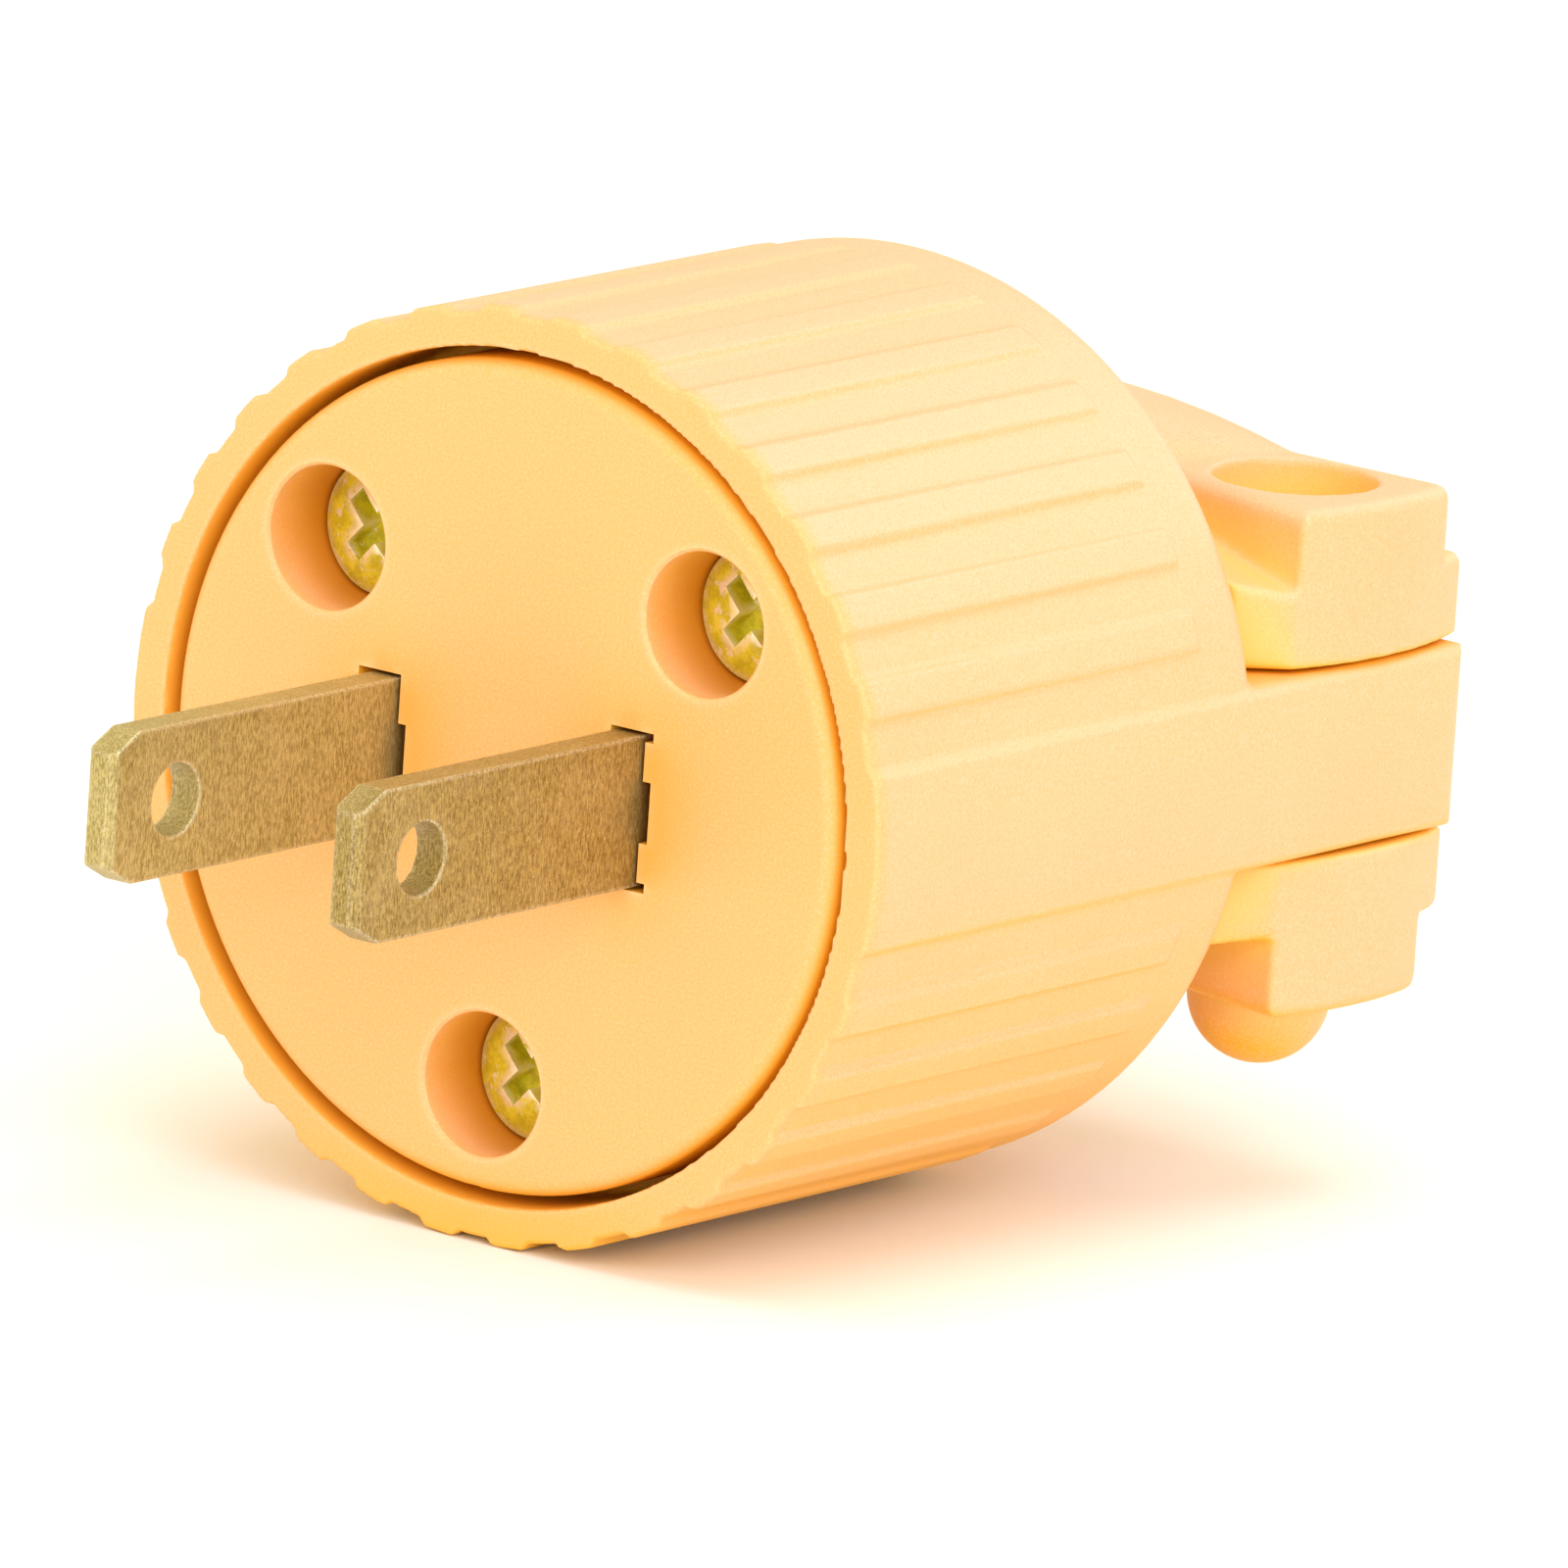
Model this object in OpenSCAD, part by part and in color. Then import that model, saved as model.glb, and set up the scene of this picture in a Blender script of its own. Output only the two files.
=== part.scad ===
// Two-blade power plug that can be rewired, with a screwed cord clamp at its rear.
// The plug's axis is Y. The blades point to -Y, the cord enters from +Y, and the
// origin is on the axis, in the plane of the front face.

/* [Blades] */
// Width of a blade
blade_w = 6.3; // [6.0:0.05:6.6]
// Thickness of a blade
blade_t = 1.5; // [1.3:0.05:1.7]
// Distance between the middle planes of the blades
blade_pitch = 12.7; // [12.2:0.1:13.4]
// Length of a blade in front of the face
blade_reach = 18; // [15:0.1:20]
// Diameter of the hole near the tip
blade_hole_d = 3; // [2.6:0.1:3.6]
// Distance from the tip to the middle of the hole
blade_hole_inset = 4.1; // [3.6:0.1:6.5]
// Length of a corner cut at the tip, along the blade
tip_cut = 1.6; // [0.6:0.1:1.8]
// Height of a corner cut at the tip
tip_drop = 0.85; // [0.5:0.05:1.4]
// Length of the thinned edge at the tip
tip_bevel = 0.35; // [0.2:0.05:0.8]
// Thickness of the blade at its thinned tip
tip_t = 0.9; // [0.6:0.05:1.2]
// Inner bend radius between a blade and its foot
bend_r = 0.4; // [0.2:0.1:0.8]

/* [Body] */
// Diameter of the body between its ribs, at the front face
body_d = 38.1; // [36:0.1:42]
// Draft of the body, in degrees, by which it widens to the rear
body_draft = 0.3; // [0:0.05:0.6]
// Length of the body from the front face to the rear face
body_len = 26.2; // [24.5:0.1:32]
// Wall of the rim round the front insulator
rim_wall = 1.4; // [1.1:0.1:1.8]
// Width of the ledge that the insulator's flange sits on
ledge_w = 1.6; // [1.2:0.1:2.2]
// Thickness of the rear wall
rear_wall = 2.4; // [1.8:0.1:3.2]
// Radius of the rear shoulder
shoulder_r = 1.8; // [0.8:0.1:3]
// Edge chamfer of the rim
rim_chamfer = 0.12; // [0.06:0.02:0.3]
// Distance of an assembly screw from the chamber's wall
screw_inset = 3.3; // [3.1:0.05:3.6]
// Diameter of a screw pillar
pillar_d = 6.8; // [6.4:0.1:7.2]
// Width of a stop behind a blade's foot
stop_w = 2.4; // [1.6:0.1:3.2]

/* [Ribs] */
// Ribs in each quarter of the body
rib_count = 7; // [5:1:8]
// Angle from the side to the first rib
rib_first = 20; // [18:0.5:24]
// Width of a rib at its foot
rib_w = 2; // [1.6:0.05:2.4]
// Height of a rib at the front face
rib_h = 0.3; // [0.2:0.05:0.6]
// Slope of a rib's side, as its width from foot to crest
rib_side = 0.3; // [0.1:0.05:0.4]
// Length of a rib from the front face
rib_len = 22.2; // [18:0.1:23]

/* [Side arms] */
// Height of the smooth side band and of its arm
band_h = 7.75; // [6.5:0.05:8.5]
// Length of an arm behind the rear face
arm_len = 14.4; // [13.4:0.1:16]
// Clear width between the two arms
arm_gap = 16.8; // [15.6:0.1:17.6]
// Plan radius of an arm's outer rear corner
arm_corner = 2.5; // [1.5:0.1:4]
// Radius of an arm's end, seen from the side
arm_end_r = 1.1; // [0.5:0.1:2]
// Edge radius along an arm
arm_edge = 0.7; // [0.3:0.1:1.2]

/* [Front insulator] */
// Gap between the insulator and the rim
face_gap = 0.5; // [0.3:0.05:0.8]
// Thickness of the insulator's flange
flange_t = 5; // [4:0.1:6]
// Full thickness of the insulator
insulator_t = 8; // [7.6:0.1:10]
// Radius of the insulator's front edge
face_edge = 0.7; // [0.3:0.1:1.2]
// Height of the upper screws, as an angle above the sides
screw_angle = 40; // [36:0.5:46]
// Diameter of a screw recess
recess_d = 6; // [5.8:0.1:6.4]
// Depth of a screw recess, down to the head's seat
recess_depth = 5.3; // [5:0.1:6.2]
// Soft lip of a screw recess
recess_lip = 0.15; // [0.1:0.05:0.5]
// Width of the notches beside a blade slot
notch_w = 0.4; // [0.25:0.05:0.8]
// Height of the middle notches
window_h = 2.55; // [1.8:0.05:3]
// Height of the corner notches on a slot's outer side
corner_h = 0.4; // [0.25:0.05:0.8]
// Depth of the notches
notch_depth = 3; // [2:0.1:4]

/* [Cord clamp] */
// Diameter of the cord that the clamp holds
cord_d = 9.2; // [6:0.1:10]
// Diameter of the cord hole in the rear wall
inlet_d = 9.8; // [7:0.1:12]
// Diameter of the cord's way where it enters the clamp
funnel_d = 19.2; // [14:0.1:20]
// Length of the jaws' straight grip in front of the lip
jaw_len = 6; // [5:0.1:6.8]
// Gap between the two jaws
jaw_gap = 1.2; // [0.8:0.1:2]
// Width of a grip groove in a jaw
groove_w = 1.2; // [0.8:0.1:1.6]
// Depth of a grip groove
groove_depth = 0.6; // [0.3:0.1:0.9]
// Set-back of the clamp's round sides inside the rib crests
clamp_inset = 0.3; // [0.1:0.1:1]
// Height of the wings' outer edges above the arms
wing_h = 3; // [2.4:0.1:4]
// Slope of the wings' tops, in degrees, up towards the hump
wing_rise = 12; // [6:0.5:14]
// Cut of the wings' outer front corners
wing_corner = 1.2; // [0.6:0.1:2]
// Height of the ears above the arms
ear_h = 6.7; // [5.5:0.1:8]
// Height of the rear lip above the arms
lip_h = 3.6; // [3.4:0.1:5]
// Length of the rear lip behind the ears
lip_len = 1.8; // [0.8:0.1:2.2]
// Set-back of the lip in front of the arms' ends
lip_setback = 0.4; // [0.2:0.1:1.2]
// Set-back of the ears' outer front corner behind the rear face
ear_setback = 2.6; // [1.8:0.1:3.2]
// Further set-back of the ears' front at the hump
ear_slant = 2.2; // [1:0.1:3]
// Gap between the wings and the rear face
wing_gap = 0.6; // [0.4:0.1:1]
// Radius of the hump over the cord at its front
hump_front_r = 13.7; // [12:0.1:15]
// Angle that the hump's front arch spans
hump_span = 76; // [60:1:84]
// Height of the hump above the axis at its rear
hump_rear_z = 12.1; // [11.2:0.1:12.8]
// Half width of the hump at its rear
hump_rear_w = 10.7; // [9:0.1:11]
// Distance of a clamp screw inside the rib crests
clamp_screw_inset = 5.65; // [5.4:0.05:6.4]
// Distance of the clamp screws behind the rear face
clamp_screw_y = 8; // [7.6:0.1:8.8]
// Diameter of the recess over a clamp screw's head
cup_d = 6.9; // [6.4:0.1:7.2]
// Depth of that recess
cup_depth = 4; // [3:0.1:4.4]
// Diameter of the dome over a clamp screw's end
dome_d = 6; // [5:0.1:6.6]
// Height of the dome above its ear
dome_h = 3.35; // [3.2:0.05:4.5]
// Wall of the dome above the screw's hole
dome_wall = 1.4; // [1.1:0.1:2]
// Edge radius of the clamp halves
clamp_edge = 0.5; // [0.3:0.05:0.8]
// Extra radius of the upper front edge of an ear
ear_edge_extra = 0.2; // [0.1:0.05:0.4]

/* [Screws] */
// Shank diameter of an assembly screw
screw_d = 3; // [2.6:0.1:3.2]
// Head diameter of an assembly screw
screw_head_d = 5.7; // [5:0.1:5.7]
// Head height of an assembly screw
screw_head_h = 2.1; // [1.8:0.1:2.5]
// Length of an assembly screw under its head
screw_len = 12; // [10:0.5:13]
// Shank diameter of a terminal screw
terminal_d = 3.3; // [3:0.1:3.5]
// Head diameter of a terminal screw
terminal_head_d = 6.8; // [6:0.1:7]
// Head height of a terminal screw
terminal_head_h = 2; // [1.6:0.1:2.4]
// Length of a terminal screw under its head
terminal_len = 4.9; // [4.2:0.1:5.4]
// Shank diameter of a clamp screw
clamp_screw_d = 3.3; // [3:0.1:3.5]
// Head diameter of a clamp screw
clamp_head_d = 6; // [5.6:0.1:6.2]
// Head height of a clamp screw
clamp_head_h = 2.2; // [1.8:0.1:2.4]
// Height of a head's crown
head_crown = 0.4; // [0.2:0.05:0.8]
// Width of the driving slots in a head
drive_w = 0.9; // [0.6:0.05:1.2]
// Length of the driving slots
drive_len = 3.4; // [2.8:0.1:4.2]
// Depth of the driving slots
drive_depth = 1.2; // [0.8:0.1:1.4]

/* [Fits] */
// Clearance round a screw's shank in its own hole
thread_gap = 0.05; // [0.02:0.01:0.1]
// Clearance round a shank or a blade that passes through a hole
pass_gap = 0.15; // [0.1:0.05:0.3]
// Clearance between the housing and what sits in or on it
seat_gap = 0.15; // [0.1:0.05:0.25]
// Clearance round what passes freely
loose_gap = 0.3; // [0.2:0.05:0.4]
// Clearance between the insulator's core and the chamber's wall
core_gap = 0.25; // [0.15:0.05:0.4]
// Distance between a blade's foot and the chamber's wall
foot_clear = 0.6; // [0.4:0.1:0.9]
// Room round a terminal screw's head
head_room = 0.4; // [0.3:0.1:0.6]
// Room beyond a screw's end
tip_room = 0.4; // [0.2:0.1:0.6]

/* [Hidden] */
$fn = 96;
// Overlap that keeps joined solids from meeting in a bare face
eps = 0.02;
// Length by which a cut runs past the face that it opens
over = 1;
// Steps on each half of the hump's arches
hump_steps = 5;
plastic = "#fbd083";
plastic_face = "#fbc872";
brass = "#b08a4a";
zinc = "#b9a548";

body_r = body_d / 2;
rear_r = body_r + (body_len - shoulder_r) * tan(body_draft);
crest_r = body_r + rib_h;
rim_r = body_r - rim_wall;
cavity_r = rim_r - ledge_w;
cavity_end = body_len - rear_wall;
rib_step = (90 - rib_first) / (rib_count - 0.5);

face_r = rim_r - face_gap;
core_r = cavity_r - core_gap;
screw_ring = cavity_r - screw_inset;
screw_places = [screw_angle, 180 - screw_angle, 270];
screw_tip = recess_depth + screw_len;

blade_in = blade_pitch / 2 - blade_t / 2;
blade_out = blade_pitch / 2 + blade_t / 2;
foot_front = insulator_t;
foot_back = foot_front + blade_t;
foot_end = cavity_r - foot_clear;
terminal_x = blade_out + head_room + terminal_head_d / 2;
terminal_tip = foot_back - terminal_len;
stop_start = terminal_x + terminal_head_d / 2 + head_room;

arm_in = arm_gap / 2;
arm_end = body_len + arm_len;
band_z = band_h / 2;
clamp_z = band_z + seat_gap;
ear_top = clamp_z + ear_h;
lip_top = clamp_z + lip_h;
lip_end = arm_end - lip_setback;
ear_end = lip_end - lip_len;
wing_front = body_len + wing_gap;
wing_z = clamp_z + wing_h;
ear_front = body_len + ear_setback;
hump_front = ear_front + ear_slant;
screw_x = crest_r - clamp_screw_inset;
screw_y = body_len + clamp_screw_y;
clamp_r = crest_r - clamp_inset;
corner_x = sqrt(pow(clamp_r, 2) - pow(screw_y - wing_front, 2));
ear_x = sqrt(pow(clamp_r, 2) - pow(screw_y - ear_front, 2));
ear_turn = atan(ear_slant / (ear_x - arm_in));
cord_r = cord_d / 2;
jaw_x = arm_in - loose_gap;
jaw_z = jaw_gap / 2;
cup_floor = ear_top - cup_depth;
dome_hole = ear_top + dome_h - dome_wall;
clamp_tip = dome_hole - tip_room;

// Turns a profile drawn as (radius, length) about the plug's axis
module about_axis() rotate([-90, 0, 0]) rotate_extrude() children();

// Repeats what lies at +X on both sides, half a turn apart about the plug's axis
module both_ways() {
    children();
    rotate([0, 180, 0]) children();
}

// Repeats what lies at +X as its mirror image at -X
module both_sides() {
    children();
    mirror([1, 0, 0]) children();
}

// Rectangle with rounded corners
module soft_rect(x0, x1, y0, y1, r) {
    translate([x0 + r, y0]) square([x1 - x0 - 2 * r, y1 - y0]);
    translate([x0, y0 + r]) square([x1 - x0, y1 - y0 - 2 * r]);
    for (x = [x0 + r, x1 - r], y = [y0 + r, y1 - r]) translate([x, y]) circle(r, $fn = 32);
}

// Places the three assembly screws, each along +Y
module at_screws() for (a = screw_places)
    translate([screw_ring * cos(a), 0, screw_ring * sin(a)]) rotate([-90, 0, 0]) children();

// Smooth round body that widens to its rear shoulder, solid
module body_blank() about_axis() {
    polygon([[0, 0], [body_r - rim_chamfer, 0], [body_r, rim_chamfer], [rear_r, body_len - shoulder_r],
             [rear_r - shoulder_r, body_len - shoulder_r], [rear_r - shoulder_r, body_len], [0, body_len]]);
    translate([rear_r - shoulder_r, body_len - shoulder_r]) intersection() {
        circle(shoulder_r);
        square(shoulder_r);
    }
}

// Space inside the body: the mouth for the insulator and the wire chamber behind it
module cavity() about_axis() {
    translate([0, -over]) square([rim_r, flange_t + over]);
    square([cavity_r, cavity_end]);
}

// Outer limit of the ribs, rounded down to the body at their rear ends
module rib_envelope() about_axis() {
    polygon([[0, 0], [crest_r - rim_chamfer, 0], [crest_r, rim_chamfer], [crest_r, rib_len - rib_h],
             [body_r, rib_len - rib_h], [body_r, rib_len], [0, rib_len]]);
    translate([body_r, rib_len - rib_h]) intersection() {
        circle(rib_h, $fn = 32);
        square(rib_h);
    }
}

// One rib along the body, at +X, with sloping sides
module rib() rotate([-90, 0, 0]) linear_extrude(rib_len) {
    root = body_r - rim_wall / 2;
    foot = rib_w / 2;
    crest = foot - rib_side;
    polygon([[root, -foot], [body_r, -foot], [crest_r, -crest],
             [crest_r, crest], [body_r, foot], [root, foot]]);
}

module ribs() intersection() {
    rib_envelope();
    for (side = [0, 180], up = [-1, 1], i = [0 : rib_count - 1])
        rotate([0, side + up * (rib_first + i * rib_step), 0]) rib();
}

// Section of a side band and its arm, drawn from the arm's inner face, with rounded edges
module arm_section() {
    soft_rect(0, sqrt(pow(crest_r, 2) - pow(band_z - arm_edge, 2)) - arm_in + eps, -band_z, band_z, arm_edge);
    translate([0, arm_edge - band_z]) square([crest_r - arm_in, band_h - 2 * arm_edge]);
}

// Plan of a side band and its arm, with the outer rear corner rounded
module arm_plan() {
    square([crest_r - arm_in, arm_end - arm_corner]);
    square([crest_r - arm_in - arm_corner, arm_end]);
    translate([crest_r - arm_in - arm_corner, arm_end - arm_corner]) circle(arm_corner);
}

// Smooth side band at +X, level with the ribs, that carries on behind the rear face as an arm
module side_arm() difference() {
    intersection() {
        about_axis() polygon([[0, 0], [crest_r - rim_chamfer, 0], [crest_r, rim_chamfer],
                              [crest_r, arm_end], [0, arm_end]]);
        translate([arm_in, 0, 0]) rotate([-90, 0, 0]) linear_extrude(arm_end) arm_section();
        translate([arm_in, 0, -band_z]) linear_extrude(band_h) arm_plan();
        rotate([90, 0, 90]) linear_extrude(crest_r) soft_rect(-band_h, arm_end, -band_z, band_z, arm_end_r);
    }
    translate([screw_x, screw_y, -band_h]) cylinder(d = clamp_screw_d + 2 * loose_gap, h = 2 * band_h);
}

// Pillars for the assembly screws and stops behind the blades' feet
module inner_supports() {
    at_screws() translate([0, 0, insulator_t]) cylinder(d = pillar_d, h = cavity_end - insulator_t + eps);
    both_sides() translate([stop_start, foot_back, -stop_w / 2])
        cube([body_r - stop_start, cavity_end - foot_back + eps, stop_w]);
}

module housing() color(plastic) difference() {
    union() {
        difference() {
            union() {
                body_blank();
                ribs();
                both_sides() side_arm();
            }
            cavity();
        }
        intersection() {
            inner_supports();
            rotate([-90, 0, 0]) cylinder(r = cavity_r + rim_wall / 2, h = body_len);
        }
    }
    at_screws() translate([0, 0, insulator_t - over])
        cylinder(d = screw_d + 2 * thread_gap, h = screw_tip + tip_room - insulator_t + over);
    rotate([-90, 0, 0]) cylinder(d = inlet_d, h = body_len + over);
}

// Slot for the blade at +X: a close fit, with notches at its front beside the blade
module blade_slot() {
    wide = blade_t + 2 * pass_gap;
    high = blade_w + 2 * pass_gap;
    translate([blade_in - pass_gap, -over, -high / 2]) cube([wide, insulator_t + 2 * over, high]);
    translate([blade_in - pass_gap - notch_w, -over, -window_h / 2])
        cube([wide + 2 * notch_w, notch_depth + over, window_h]);
    for (z = [-high / 2, high / 2 - corner_h])
        translate([blade_out, -over, z]) cube([pass_gap + notch_w, notch_depth + over, corner_h]);
    translate([blade_out, insulator_t - bend_r - pass_gap, -high / 2])
        cube([bend_r + pass_gap, bend_r + pass_gap + over, high]);
}

module front_insulator() color(plastic_face) difference() {
    about_axis() {
        polygon([[0, 0], [face_r - face_edge, 0], [face_r - face_edge, face_edge], [face_r, face_edge],
                 [face_r, flange_t], [core_r, flange_t], [core_r, insulator_t], [0, insulator_t]]);
        translate([face_r - face_edge, face_edge]) circle(face_edge, $fn = 48);
    }
    at_screws() {
        translate([0, 0, -over]) cylinder(d = recess_d, h = recess_depth + over);
        translate([0, 0, -eps]) cylinder(d1 = recess_d + 2 * recess_lip, d2 = recess_d, h = recess_lip);
        cylinder(d = screw_d + 2 * pass_gap, h = insulator_t + over);
    }
    both_sides() {
        blade_slot();
        translate([terminal_x, terminal_tip - tip_room, 0]) rotate([-90, 0, 0])
            cylinder(d = terminal_d + 2 * loose_gap, h = insulator_t);
    }
}

// Plan of the strip at +X: thinned tip, straight blade, bend and foot
module blade_plan() {
    thin = (blade_t - tip_t) / 2;
    turn = blade_t + bend_r;
    polygon([[blade_in + thin, -blade_reach], [blade_out - thin, -blade_reach],
             [blade_out, tip_bevel - blade_reach], [blade_out, foot_back - turn],
             [blade_in, foot_back - turn], [blade_in, tip_bevel - blade_reach]]);
    translate([blade_in + turn, foot_front]) square([foot_end - blade_in - turn, blade_t]);
    translate([blade_in + turn, foot_back - turn]) intersection() {
        difference() {
            circle(turn, $fn = 48);
            circle(bend_r, $fn = 48);
        }
        translate([-turn, 0]) square(turn);
    }
}

// Outline of the strip seen from the side, with cut tip corners
module blade_outline() {
    half = blade_w / 2;
    polygon([[-blade_reach, half - tip_drop], [tip_cut - blade_reach, half], [body_len, half],
             [body_len, -half], [tip_cut - blade_reach, -half], [-blade_reach, tip_drop - half]]);
}

// Blade at +X with its terminal foot
module blade() difference() {
    intersection() {
        translate([0, 0, -blade_w / 2]) linear_extrude(blade_w) blade_plan();
        rotate([90, 0, 90]) linear_extrude(body_r) blade_outline();
    }
    translate([0, blade_hole_inset - blade_reach, 0]) rotate([0, 90, 0])
        cylinder(d = blade_hole_d, h = body_r);
    translate([terminal_x, 0, 0]) rotate([-90, 0, 0])
        cylinder(d = terminal_d + 2 * thread_gap, h = body_len);
}

module blade_left() color(brass) mirror([1, 0, 0]) blade();

module blade_right() color(brass) blade();

// Screw with its seat at z = 0, its head above and its shank below, and a cross or a slot in the head
module screw(shank_d, shank_len, head_d, head_h, slots) difference() {
    crown_r = (pow(head_d / 2, 2) + pow(head_crown, 2)) / (2 * head_crown);
    rotate_extrude() {
        translate([0, -shank_len]) square([shank_d / 2, shank_len + eps]);
        intersection() {
            translate([0, head_h - crown_r]) circle(crown_r, $fn = 360);
            square([head_d / 2, head_h]);
        }
    }
    for (a = slots) rotate([0, 0, a])
        translate([-drive_len / 2, -drive_w / 2, head_h - drive_depth]) cube([drive_len, drive_w, head_h]);
}

module assembly_screws() color(zinc) at_screws() translate([0, 0, recess_depth]) mirror([0, 0, 1])
    screw(screw_d, screw_len, screw_head_d, screw_head_h, [45, 135]);

module terminal_screws() color(zinc) both_sides() translate([terminal_x, foot_back, 0]) rotate([-90, 0, 0])
    screw(terminal_d, terminal_len, terminal_head_d, terminal_head_h, [90]);

module clamp_screws() color(zinc) both_ways() translate([screw_x, screw_y, cup_floor])
    screw(clamp_screw_d, cup_floor + clamp_tip, clamp_head_d, clamp_head_h, [45, 135]);

// Slab with round sides and a softened upper edge, about the line of the clamp screws
module round_slab(top) translate([0, screw_y, 0]) rotate_extrude() intersection() {
    soft_rect(-clamp_r, clamp_r, clamp_z - over, top, clamp_edge);
    translate([0, clamp_z]) square([clamp_r, top]);
}

// Bar across the plug between two places along its axis, with softened upper edges
module cross_bar(front, back, top, edge = clamp_edge) rotate([90, 0, 90]) translate([0, 0, -2 * clamp_r])
    linear_extrude(4 * clamp_r) soft_rect(front, back, clamp_z - 2 * over, top, edge);

// Part of a clamp half that spans between two places along the axis
module clamp_bar(front, back, top) intersection() {
    round_slab(top);
    cross_bar(front, back, top);
}

// Wing at +X: its top slopes up from its outer edge to the hump, and its outer front corner is cut
module wing() intersection() {
    round_slab(ear_top);
    linear_extrude(ear_top) polygon([
        [0, wing_front], [corner_x - wing_corner, wing_front],
        [corner_x + wing_corner, wing_front + 2 * wing_corner], [clamp_r + over, ear_end], [0, ear_end]]);
    translate([clamp_r, body_len, wing_z]) rotate([0, wing_rise, 0]) translate([-2 * clamp_r, 0, -2 * ear_h])
        cube([3 * clamp_r, arm_len, 2 * ear_h]);
}

// Ear at +X: its front face slants back towards the hump
module ear() intersection() {
    clamp_bar(body_len, ear_end, ear_top);
    translate([ear_x, ear_front, 0]) rotate([0, 0, -ear_turn])
        cross_bar(0, 2 * arm_len, ear_top, clamp_edge + ear_edge_extra);
    translate([arm_in / 2, body_len, 0]) cube([clamp_r, arm_len, ear_top + over]);
}

// Hump over the cord: a round arch at its front that flattens and drops to the rear
module hump() hull() for (i = [-hump_steps : hump_steps]) {
    k = i / hump_steps;
    translate([0, hump_front + clamp_edge, 0]) rotate([0, k * hump_span / 2, 0])
        translate([0, 0, hump_front_r - clamp_edge]) sphere(clamp_edge, $fn = 16);
    translate([k * hump_rear_w, ear_end - clamp_edge,
               hump_rear_z - clamp_edge - (hump_rear_z - ear_top + eps) * k * k])
        sphere(clamp_edge, $fn = 16);
    for (y = [hump_front + clamp_edge, ear_end - clamp_edge])
        translate([k * arm_in, y, wing_z]) sphere(clamp_edge, $fn = 16);
}

// Cord's way through a clamp half: a funnel, then the round jaw with two grip grooves
module cord_way() about_axis() {
    throat = ear_end - jaw_len;
    polygon([[0, body_len], [funnel_d / 2, body_len], [funnel_d / 2, wing_front],
             [cord_r, throat], [cord_r, lip_end + over], [0, lip_end + over]]);
    for (i = [1, 2])
        translate([0, throat + i * jaw_len / 3 - groove_w / 2]) square([cord_r + groove_depth, groove_w]);
}

// One clamp half, above the arms: screw recess at +X, dome at -X
module clamp_half() difference() {
    union() {
        clamp_bar(hump_front, lip_end, lip_top);
        both_sides() {
            wing();
            ear();
        }
        hump();
        translate([-jaw_x, hump_front, jaw_z])
            cube([2 * jaw_x, lip_end - hump_front - clamp_edge, wing_z - jaw_z]);
        translate([-screw_x, screw_y, 0]) rotate_extrude() {
            translate([0, ear_top - over]) square([dome_d / 2, dome_h + over - dome_d / 2]);
            translate([0, ear_top + dome_h - dome_d / 2]) intersection() {
                circle(dome_d / 2);
                square(dome_d / 2);
            }
        }
    }
    cord_way();
    translate([screw_x, screw_y, 0]) {
        cylinder(d = clamp_screw_d + 2 * loose_gap, h = ear_top);
        translate([0, 0, cup_floor]) cylinder(d = cup_d, h = cup_depth + over);
    }
    translate([-screw_x, screw_y, 0]) cylinder(d = clamp_screw_d + 2 * thread_gap, h = dome_hole);
}

module clamp_upper() color(plastic) clamp_half();

module clamp_lower() color(plastic) rotate([0, 180, 0]) clamp_half();

housing();
front_insulator();
blade_left();
blade_right();
terminal_screws();
assembly_screws();
clamp_upper();
clamp_lower();
clamp_screws();
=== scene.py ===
import math
import bpy
from mathutils import Matrix, Vector


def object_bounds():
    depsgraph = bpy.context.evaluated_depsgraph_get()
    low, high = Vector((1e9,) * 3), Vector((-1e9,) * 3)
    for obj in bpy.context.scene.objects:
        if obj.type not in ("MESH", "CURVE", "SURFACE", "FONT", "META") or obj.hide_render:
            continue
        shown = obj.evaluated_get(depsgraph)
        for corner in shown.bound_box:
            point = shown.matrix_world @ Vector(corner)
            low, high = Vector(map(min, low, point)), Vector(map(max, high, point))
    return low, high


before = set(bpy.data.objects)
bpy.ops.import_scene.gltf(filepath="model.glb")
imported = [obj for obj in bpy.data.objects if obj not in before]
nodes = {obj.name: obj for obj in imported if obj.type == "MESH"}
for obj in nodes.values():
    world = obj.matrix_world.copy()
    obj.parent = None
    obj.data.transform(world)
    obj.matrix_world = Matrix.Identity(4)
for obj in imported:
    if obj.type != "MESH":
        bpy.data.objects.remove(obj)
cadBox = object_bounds()
mm = 0.001
print("frame loaded:", ", ".join(sorted(nodes)))


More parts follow.
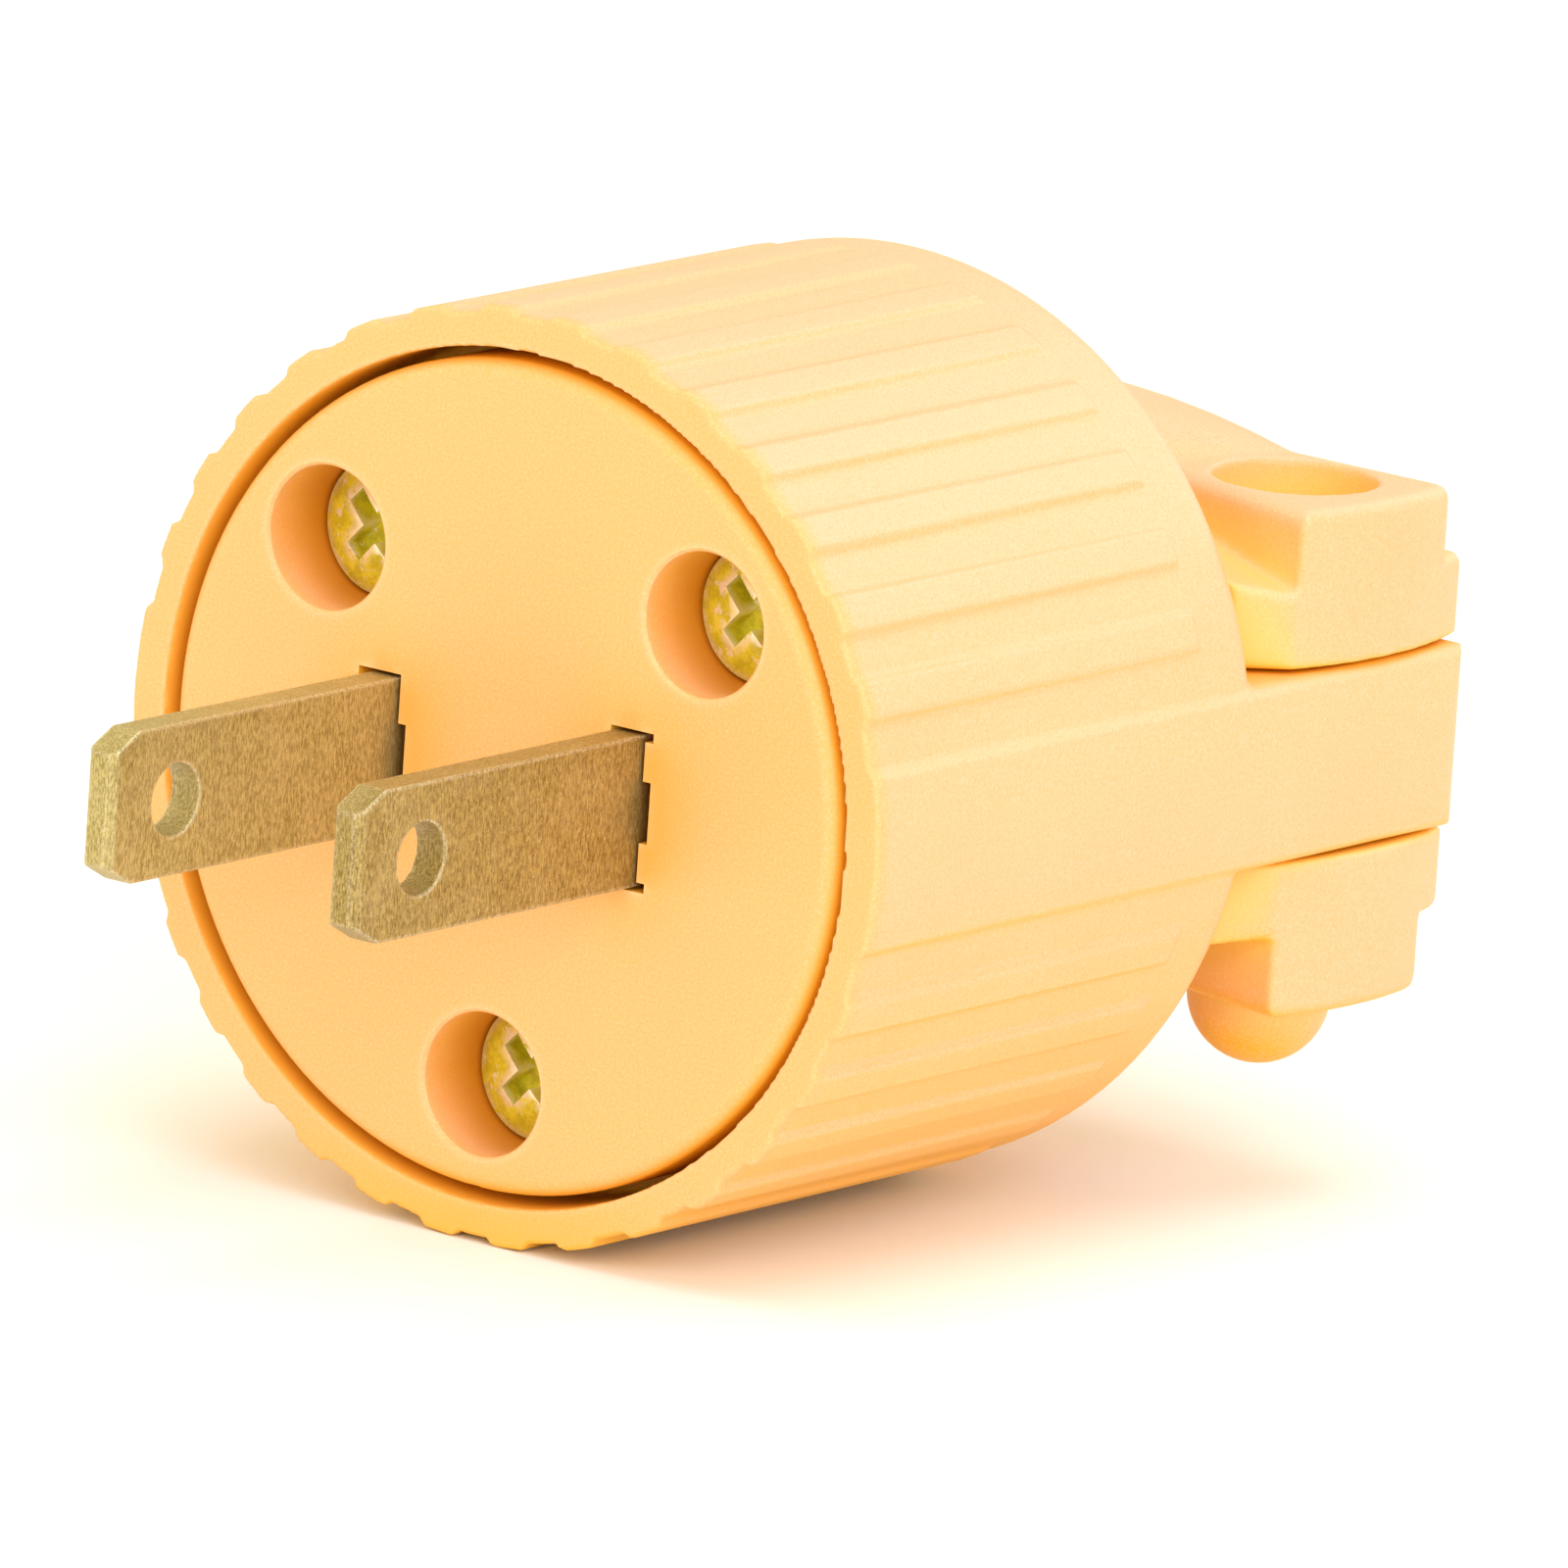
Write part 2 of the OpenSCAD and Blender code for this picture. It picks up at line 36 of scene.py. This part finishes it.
# one wrapped socket: plain maths on it adds Math nodes, add() makes any other node
class Wire:
    def __init__(self, tree, socket=None):
        self.tree = tree
        self.socket = socket

    def add(self, kind, settings=None, inputs=None, out=0):
        node = self.tree.nodes.new("ShaderNode" + kind)
        for key, value in (settings or {}).items():
            if key == "stops":
                self.setStops(node.color_ramp, value)
            else:
                setattr(node, key, value)
        for key, value in (inputs or {}).items():
            if isinstance(value, Wire):
                self.tree.links.new(value.socket, node.inputs[key])
            else:
                node.inputs[key].default_value = value
        return Wire(self.tree, node.outputs[out])

    def setStops(self, ramp, stops):  # a new ramp has two stops, and none here needs more
        for element, (place, shade) in zip(ramp.elements, stops):
            element.position = place
            element.color = (shade, shade, shade, 1.0)

    def maths(self, operation, first, second):
        return self.add("Math", {"operation": operation}, {0: first, 1: second})

    def __add__(self, other):
        return self.maths("ADD", self, other)

    def __sub__(self, other):
        return self.maths("SUBTRACT", self, other)

    def __mul__(self, other):
        return self.maths("MULTIPLY", self, other)

    def __rsub__(self, other):
        return self.maths("SUBTRACT", other, self)

    __radd__ = __add__
    __rmul__ = __mul__

    def noise(self, place, size, detail, rough=0.5):
        inputs = {"Vector": place, "Scale": 1.0 / (size * mm), "Detail": detail, "Roughness": rough}
        return self.add("TexNoise", None, inputs)

    def ramp(self, low, high):
        return self.add("ValToRGB", {"stops": [(low, 0.0), (high, 1.0)]}, {0: self})

    # 0 in the open, 1 where all within the reach is closed in; inside looks into the piece itself
    def occluded(self, reach, inside=False, onlyLocal=False, samples=2):
        settings = {"inside": inside, "only_local": onlyLocal, "samples": samples}
        return 1.0 - self.add("AmbientOcclusion", settings, {"Distance": reach * mm}, out="AO")


# a new material, with its tree as a Wire and its shader node
def newMaterial(name, fixed):
    material = bpy.data.materials.new(name)
    material.use_nodes = True
    tree = material.node_tree
    shader = tree.nodes["Principled BSDF"]
    for key, value in fixed.items():
        shader.inputs[key].default_value = value
    return material, Wire(tree), shader


def feed(shader, name, wire):
    wire.tree.links.new(wire.socket, shader.inputs[name])


def feedBump(shader, height, look):
    inputs = {"Strength": look["bumpStrength"], "Distance": look["bumpDepth"] * mm, "Height": height}
    feed(shader, "Normal", height.add("Bump", None, inputs))


def mixColours(factor, first, second):
    settings = {"data_type": "RGBA", "blend_type": "MIX"}
    return factor.add("Mix", settings, {0: factor, 6: first, 7: second}, out=2)  # its colour sockets


# a colour laid over the skin where the mask rises from the lower limit to the upper one
def lay(skin, mask, limits, colour, strength=1.0):
    return mixColours(mask.ramp(*limits) * strength, skin, colour)


# moulded amber plastic: soft clouds and a fine grain, with painted light and shade: a painted highlight
# along the edges, painted shade in hollows and between parts, a painted glow in the most closed-in gaps and
# painted shade on the front face;
# faces turned towards the lit side are painted paler, as if lit, and those turned away more golden, as
# painted shade; sizes, widths and reaches in mm
amberLook = {
    "colour": (0.93, 0.485, 0.235, 1.0), "roughness": 0.36, "ior": 1.46,
    "cloud": (0.92, 0.47, 0.22, 1.0), "cloudSize": 7.0, "cloudLimits": (0.35, 0.65),
    # painted light and shade by facing: faces towards the lit side are painted paler, faces away from it
    # more golden
    "litSide": (0.0, 0.3, 0.95),
    "upper": (0.93, 0.49, 0.285, 1.0), "upperLimits": (0.05, 0.8),
    "under": (0.93, 0.485, 0.09, 1.0), "underLimits": (0.1, 0.8),
    # painted shade: the front face, which gets less light, is painted more orange
    "front": (0.92, 0.46, 0.155, 1.0), "frontDepth": 1.0, "frontLimits": (0.1, 0.9),
    "grainPale": (0.98, 0.66, 0.46, 1.0), "grainDark": (0.84, 0.34, 0.08, 1.0), "grainSize": 0.12,
    "grainLimits": (0.5, 0.8), "grainStrength": 0.45, "grainRoughness": 0.2,
    # painted highlight along the edges
    "wearAndHighlight": (0.98, 0.66, 0.46, 1.0), "wearAndHighlightWidth": 0.35, "wearAndHighlightLimits": (0.4, 0.85), "highlightStrength": 0.8,
    # painted shade in hollows and between parts
    "creviceShadeTint": (0.93, 0.42, 0.008, 1.0), "creviceReach": 4.0, "creviceLimits": (0.12, 0.65),
    # painted glow, a brighter orange, in the most closed-in gaps
    "deepGapGlow": (1.0, 0.52, 0.02, 1.0), "deepLimits": (0.78, 0.96),
    "bumpStrength": 0.16, "bumpDepth": 0.02,
}
# the ribbed housing adds a painted shade line at the foot of each rib
ribbedLook = dict(amberLook, creaseShade=(0.84, 0.33, 0.05, 1.0), creaseReach=0.4,
                  creaseLimits=(0.2, 0.6), creaseStrength=0.7)
# painted shade: the disc's darker, more orange colour stands for the weaker light on its front face
faceLook = dict(amberLook, colour=(0.92, 0.46, 0.155, 1.0), cloud=(0.91, 0.445, 0.14, 1.0),
                # painted highlight along the disc's edges
                wearAndHighlight=(1.0, 0.80, 0.62, 1.0), wearAndHighlightWidth=0.5, highlightStrength=1.0,
                # painted shade: the screw recesses darken towards their floor
                wellShade=(0.62, 0.21, 0.001, 1.0), wellDepth=4.5, wellLimits=(0.1, 0.95))
# clamp halves: a lighter, more golden painted light and shade in their hollows, and a stronger painted shade
# on faces turned away from the light
clampLook = dict(amberLook, creviceShadeTint=(0.96, 0.72, 0.14, 1.0), creviceReach=3.0,
                 under=(0.93, 0.43, 0.004, 1.0))


def plasticMaterial(name, look):
    material, wire, shader = newMaterial(name, {"IOR": look["ior"]})
    place = wire.add("TexCoord", out="Object")
    normal = wire.add("TexCoord", out="Normal")
    cloud = wire.noise(place, look["cloudSize"], detail=3.0)
    grain = wire.noise(place, look["grainSize"], detail=2.0, rough=0.6)
    depth = wire.add("SeparateXYZ", None, {0: place}, out="Y") * (1.0 / mm)  # behind the front face, in mm
    sides = {0: normal, 1: look["litSide"]}
    facingLight = wire.add("VectorMath", {"operation": "DOT_PRODUCT"}, sides, out="Value")
    # inner marks the edges for the painted highlight; outer marks hollows and gaps for painted shade
    inner = wire.occluded(look["wearAndHighlightWidth"], inside=True, onlyLocal=True)
    outer = wire.occluded(look["creviceReach"])
    skin = mixColours(cloud.ramp(*look["cloudLimits"]), look["colour"], look["cloud"])
    # painted light and shade by facing
    skin = lay(skin, facingLight, look["upperLimits"], look["upper"])
    skin = lay(skin, facingLight * -1.0, look["underLimits"], look["under"])
    # painted shade on the front face
    skin = lay(skin, look["frontDepth"] - depth, look["frontLimits"], look["front"])
    skin = lay(skin, grain, look["grainLimits"], look["grainPale"], look["grainStrength"])
    skin = lay(skin, 1.0 - grain, look["grainLimits"], look["grainDark"], look["grainStrength"])
    # painted highlight along the edges
    skin = lay(skin, inner, look["wearAndHighlightLimits"], look["wearAndHighlight"], look["highlightStrength"])
    # painted shade in hollows and between parts
    skin = lay(skin, outer, look["creviceLimits"], look["creviceShadeTint"])
    # painted glow in the most closed-in gaps
    skin = lay(skin, outer, look["deepLimits"], look["deepGapGlow"])
    # painted shade: a fine dark line at the foot of each rib
    if "creaseShade" in look:  # fine dark line at the foot of each rib
        near = wire.occluded(look["creaseReach"], onlyLocal=True)
        skin = lay(skin, near, look["creaseLimits"], look["creaseShade"], look["creaseStrength"])
    # painted shade: the screw recesses darken towards their floor
    if "wellShade" in look:  # the screw wells darken towards their floor
        skin = lay(skin, depth * (1.0 / look["wellDepth"]), look["wellLimits"], look["wellShade"])
    feed(shader, "Base Color", skin)
    feed(shader, "Roughness", grain * look["grainRoughness"] + look["roughness"])
    feedBump(shader, grain, look)
    return material


# rolled brass: short grain across the strip and salt and pepper flecks, with a painted highlight along the
# edges and painted shade at the foot of the blade
brassLook = {
    "colour": (0.50, 0.35, 0.10, 1.0), "dark": (0.21, 0.125, 0.022, 1.0), "pale": (0.74, 0.58, 0.31, 1.0),
    "metallic": 0.4, "roughness": 0.34,
    "grainSize": 0.075, "grainStretch": (1.0, 1.0, 0.22), "grainLimits": (0.4, 0.6), "grainRoughness": 0.24,
    "cloudSize": 2.4, "cloudLimits": (0.42, 0.7), "cloudStrength": 0.14,
    "fleckSize": 0.11, "fleckLimits": (0.56, 0.76), "paleStrength": 0.75, "darkStrength": 0.6,
    # painted shade at the foot of the blade, by the disc
    "root": (0.22, 0.11, 0.014, 1.0), "rootReach": 2.2, "rootLimits": (0.3, 0.75), "rootStrength": 0.85,
    # painted highlight along the edges, broken up by the flecks
    "wearAndHighlight": (0.95, 0.84, 0.62, 1.0), "wearAndHighlightWidth": 0.16, "wearAndHighlightLimits": (0.3, 0.7), "highlightFlecks": 0.9,
    "edgeLimits": (0.8, 1.0), "edgePolish": 0.12,
    "bumpStrength": 0.3, "bumpDepth": 0.02,
}
# painted light: a paler copy of the brass for the far blade, standing for the light it gets
litBrassLook = dict(brassLook, colour=(0.61, 0.485, 0.18, 1.0), dark=(0.28, 0.20, 0.05, 1.0))


def brassMaterial(name, look):
    material, wire, shader = newMaterial(name, {"Metallic": look["metallic"]})
    place = wire.add("TexCoord", out="Object")
    drawn = wire.add("Mapping", None, {"Vector": place, "Scale": look["grainStretch"]})
    grain = wire.noise(drawn, look["grainSize"], detail=4.0, rough=0.7)
    fleck = wire.noise(place, look["fleckSize"], detail=3.0, rough=0.7)
    cloud = wire.noise(place, look["cloudSize"], detail=3.0)
    # inner marks the edges for the painted highlight; outer marks the foot of the blade for painted shade
    inner = wire.occluded(look["wearAndHighlightWidth"], inside=True, onlyLocal=True)
    outer = wire.occluded(look["rootReach"])
    edge = (inner.ramp(*look["wearAndHighlightLimits"]) + fleck * look["highlightFlecks"]).ramp(*look["edgeLimits"])
    skin = mixColours(grain.ramp(*look["grainLimits"]), look["dark"], look["colour"])
    skin = lay(skin, cloud, look["cloudLimits"], look["pale"], look["cloudStrength"])
    skin = lay(skin, fleck, look["fleckLimits"], look["pale"], look["paleStrength"])
    skin = lay(skin, 1.0 - fleck, look["fleckLimits"], look["dark"], look["darkStrength"])
    # painted shade at the foot of the blade
    skin = lay(skin, outer, look["rootLimits"], look["root"], look["rootStrength"])
    # painted highlight along the edges
    skin = mixColours(edge, skin, look["wearAndHighlight"])
    feed(shader, "Base Color", skin)
    feed(shader, "Roughness", grain * look["grainRoughness"] - edge * look["edgePolish"] + look["roughness"])
    feedBump(shader, grain + fleck, look)
    return material


# yellow zinc plating: dull olive, with ragged bare patches where the driver has scraped the edges
platedLook = {
    "colour": (0.86, 0.80, 0.05, 1.0), "dark": (0.58, 0.53, 0.02, 1.0), "metallic": 0.2, "roughness": 0.32,
    "mottleSize": 0.7, "mottleShare": 0.6, "mottleLimits": (0.4, 0.6),
    "fleckSize": 0.16, "fleckShare": 0.4, "fleckRoughness": 0.2, "fleckHeight": 0.4,
    "bare": (0.98, 0.98, 0.82, 1.0), "bareMetallic": 0.3, "barePolish": 0.1,
    "patchSize": 0.55, "patchLimits": (0.6, 0.66),
    "wearAndHighlightWidth": 0.5, "wearAndHighlightLimits": (0.2, 0.6), "wornShare": 0.3,
    "bumpStrength": 0.45, "bumpDepth": 0.06,
}


def platedMaterial(name, look):
    material, wire, shader = newMaterial(name, {})
    place = wire.add("TexCoord", out="Object")
    mottle = wire.noise(place, look["mottleSize"], detail=3.0)
    patch = wire.noise(place, look["patchSize"], detail=4.0, rough=0.6)
    fleck = wire.noise(place, look["fleckSize"], detail=3.0, rough=0.65)
    inner = wire.occluded(look["wearAndHighlightWidth"], inside=True, onlyLocal=True)
    tone = mottle * look["mottleShare"] + fleck * look["fleckShare"]
    wearAndHighlight = (inner.ramp(*look["wearAndHighlightLimits"]) * look["wornShare"] + patch).ramp(*look["patchLimits"])
    skin = mixColours(tone.ramp(*look["mottleLimits"]), look["dark"], look["colour"])
    skin = mixColours(wearAndHighlight, skin, look["bare"])
    feed(shader, "Base Color", skin)
    feed(shader, "Metallic", wearAndHighlight * look["bareMetallic"] + look["metallic"])
    feed(shader, "Roughness", fleck * look["fleckRoughness"] - wearAndHighlight * look["barePolish"] + look["roughness"])
    feedBump(shader, patch + fleck * look["fleckHeight"], look)
    return material


amber = plasticMaterial("amberPlastic", ribbedLook)
clampPlastic = plasticMaterial("clampPlastic", clampLook)
facePlastic = plasticMaterial("facePlastic", faceLook)
brass = brassMaterial("rolledBrass", brassLook)
# the far blade's paler brass is painted light
litBrass = brassMaterial("litBrass", litBrassLook)
plated = platedMaterial("yellowPlated", platedLook)
finishes = {
    "housing": amber, "front_insulator": facePlastic,
    "clamp_upper": clampPlastic, "clamp_lower": clampPlastic,
    "blade_left": litBrass, "blade_right": brass,
    "terminal_screws": plated, "assembly_screws": plated, "clamp_screws": plated,
}
for name, material in finishes.items():
    nodes[name].material_slots[0].material = material
print("materials made:", len(bpy.data.materials))

# disc, blades and seen screws: each sharp edge gets a small bevel of this width in mm
softEdges = {
    "front_insulator": 0.2, "blade_left": 0.1, "blade_right": 0.1,
    "assembly_screws": 0.1, "clamp_screws": 0.08,
}
bevelStyle = {"weld": 0.0005, "segments": 3, "leastAngle": 28.0}
for name, width in softEdges.items():
    weld = nodes[name].modifiers.new("weld", "WELD")
    weld.merge_threshold = bevelStyle["weld"] * mm
    bevel = nodes[name].modifiers.new("softEdges", "BEVEL")
    bevel.width = width * mm
    bevel.segments = bevelStyle["segments"]
    bevel.limit_method = "ANGLE"
    bevel.angle_limit = math.radians(bevelStyle["leastAngle"])
    bevel.harden_normals = True

# housing and clamp halves: every edge melts into the next face, as on the mouldings (voxel in mm)
meltedPieces = {
    "housing": {"voxel": 0.14, "rounds": 1, "factor": 0.5, "kept": 0.15},
    "clamp_upper": {"voxel": 0.16, "rounds": 12, "factor": 0.5, "kept": 0.5},
    "clamp_lower": {"voxel": 0.16, "rounds": 12, "factor": 0.5, "kept": 0.5},
}
for name, melted in meltedPieces.items():
    grid = nodes[name].modifiers.new("grid", "REMESH")
    grid.mode = "VOXEL"
    grid.voxel_size = melted["voxel"] * mm
    grid.use_smooth_shade = True
    melt = nodes[name].modifiers.new("melt", "SMOOTH")
    melt.factor = melted["factor"]
    melt.iterations = melted["rounds"]
    thin = nodes[name].modifiers.new("thin", "DECIMATE")
    thin.ratio = melted["kept"]
print("edges softened:", len(softEdges) + len(meltedPieces))

# floor and light
stage = {
    "floorSize": 8.0, "floorColour": (0.92, 0.92, 0.93, 1.0), "floorRoughness": 0.9,
    "sky": 0.80, "skyColour": (1.0, 0.93, 0.64, 1.0),
}
bpy.ops.mesh.primitive_plane_add(size=stage["floorSize"], location=(0, 0, cadBox[0][2]))
floor = bpy.context.object
floor.name = "floor"
floorFixed = {"Base Color": stage["floorColour"], "Roughness": stage["floorRoughness"]}
floor.data.materials.append(newMaterial("paleFloor", floorFixed)[0])

world = bpy.data.worlds.new("studio")
bpy.context.scene.world = world
world.use_nodes = True
background = world.node_tree.nodes["Background"]
background.inputs["Color"].default_value = stage["skyColour"]
background.inputs["Strength"].default_value = stage["sky"]

softboxes = {
    "keyRight": {"place": (2.30, -1.60, 1.40), "size": 2.0, "power": 46.0, "colour": (0.95, 0.98, 1.2)},
    "fillFront": {"place": (0.10, -2.80, 1.10), "size": 2.2, "power": 19.0, "colour": (1.0, 0.95, 0.75)},
    "top": {"place": (0.40, -0.10, 2.80), "size": 2.2, "power": 32.0, "colour": (0.96, 0.98, 1.15)},
    "rear": {"place": (0.60, 2.80, 1.40), "size": 2.2, "power": 26.0, "colour": (1.0, 0.97, 0.95)},
    "left": {"place": (-2.80, -0.50, 1.30), "size": 2.2, "power": 16.0, "colour": (1.0, 0.96, 0.85)},
}
for name, box in softboxes.items():
    lamp = bpy.data.lights.new(name, "AREA")
    lamp.size = box["size"]
    lamp.energy = box["power"]
    lamp.color = box["colour"]
    lampObject = bpy.data.objects.new(name, lamp)
    bpy.context.scene.collection.objects.link(lampObject)
    lampObject.location = box["place"]
    lampObject.rotation_euler = (-Vector(box["place"])).to_track_quat("-Z", "Y").to_euler()  # at the plug
print("stage set")

# camera, solved from the blades, the rim and the recesses in the photograph
photoView = {
    "azimuth": 37.216, "elevation": 12.702, "roll": 3.829,
    "distance": 1.0, "aside": 11.47 * mm, "lift": -0.2 * mm,
    "lens": 567.4, "sensor": 36.0, "clipEnd": 20.0,
}


def placeCamera(view):
    azimuth, elevation, roll = (math.radians(view[key]) for key in ("azimuth", "elevation", "roll"))
    back = Vector((math.sin(azimuth) * math.cos(elevation), -math.cos(azimuth) * math.cos(elevation),
                   math.sin(elevation)))
    right = Vector((math.cos(azimuth), math.sin(azimuth), 0.0))
    up = back.cross(right)
    rolledRight = right * math.cos(roll) + up * math.sin(roll)
    rolledUp = up * math.cos(roll) - right * math.sin(roll)
    lens = bpy.data.cameras.new("photoCamera")
    lens.lens = view["lens"]
    lens.sensor_width = view["sensor"]
    lens.clip_end = view["clipEnd"]
    camera = bpy.data.objects.new("photoCamera", lens)
    bpy.context.scene.collection.objects.link(camera)
    place = back * view["distance"] + rolledRight * view["aside"] + rolledUp * view["lift"]
    turn = Matrix((rolledRight, rolledUp, back)).transposed().to_4x4()
    camera.matrix_world = Matrix.Translation(place) @ turn
    bpy.context.scene.camera = camera


placeCamera(photoView)
bpy.context.scene.view_settings.view_transform = "Standard"
print("camera placed")
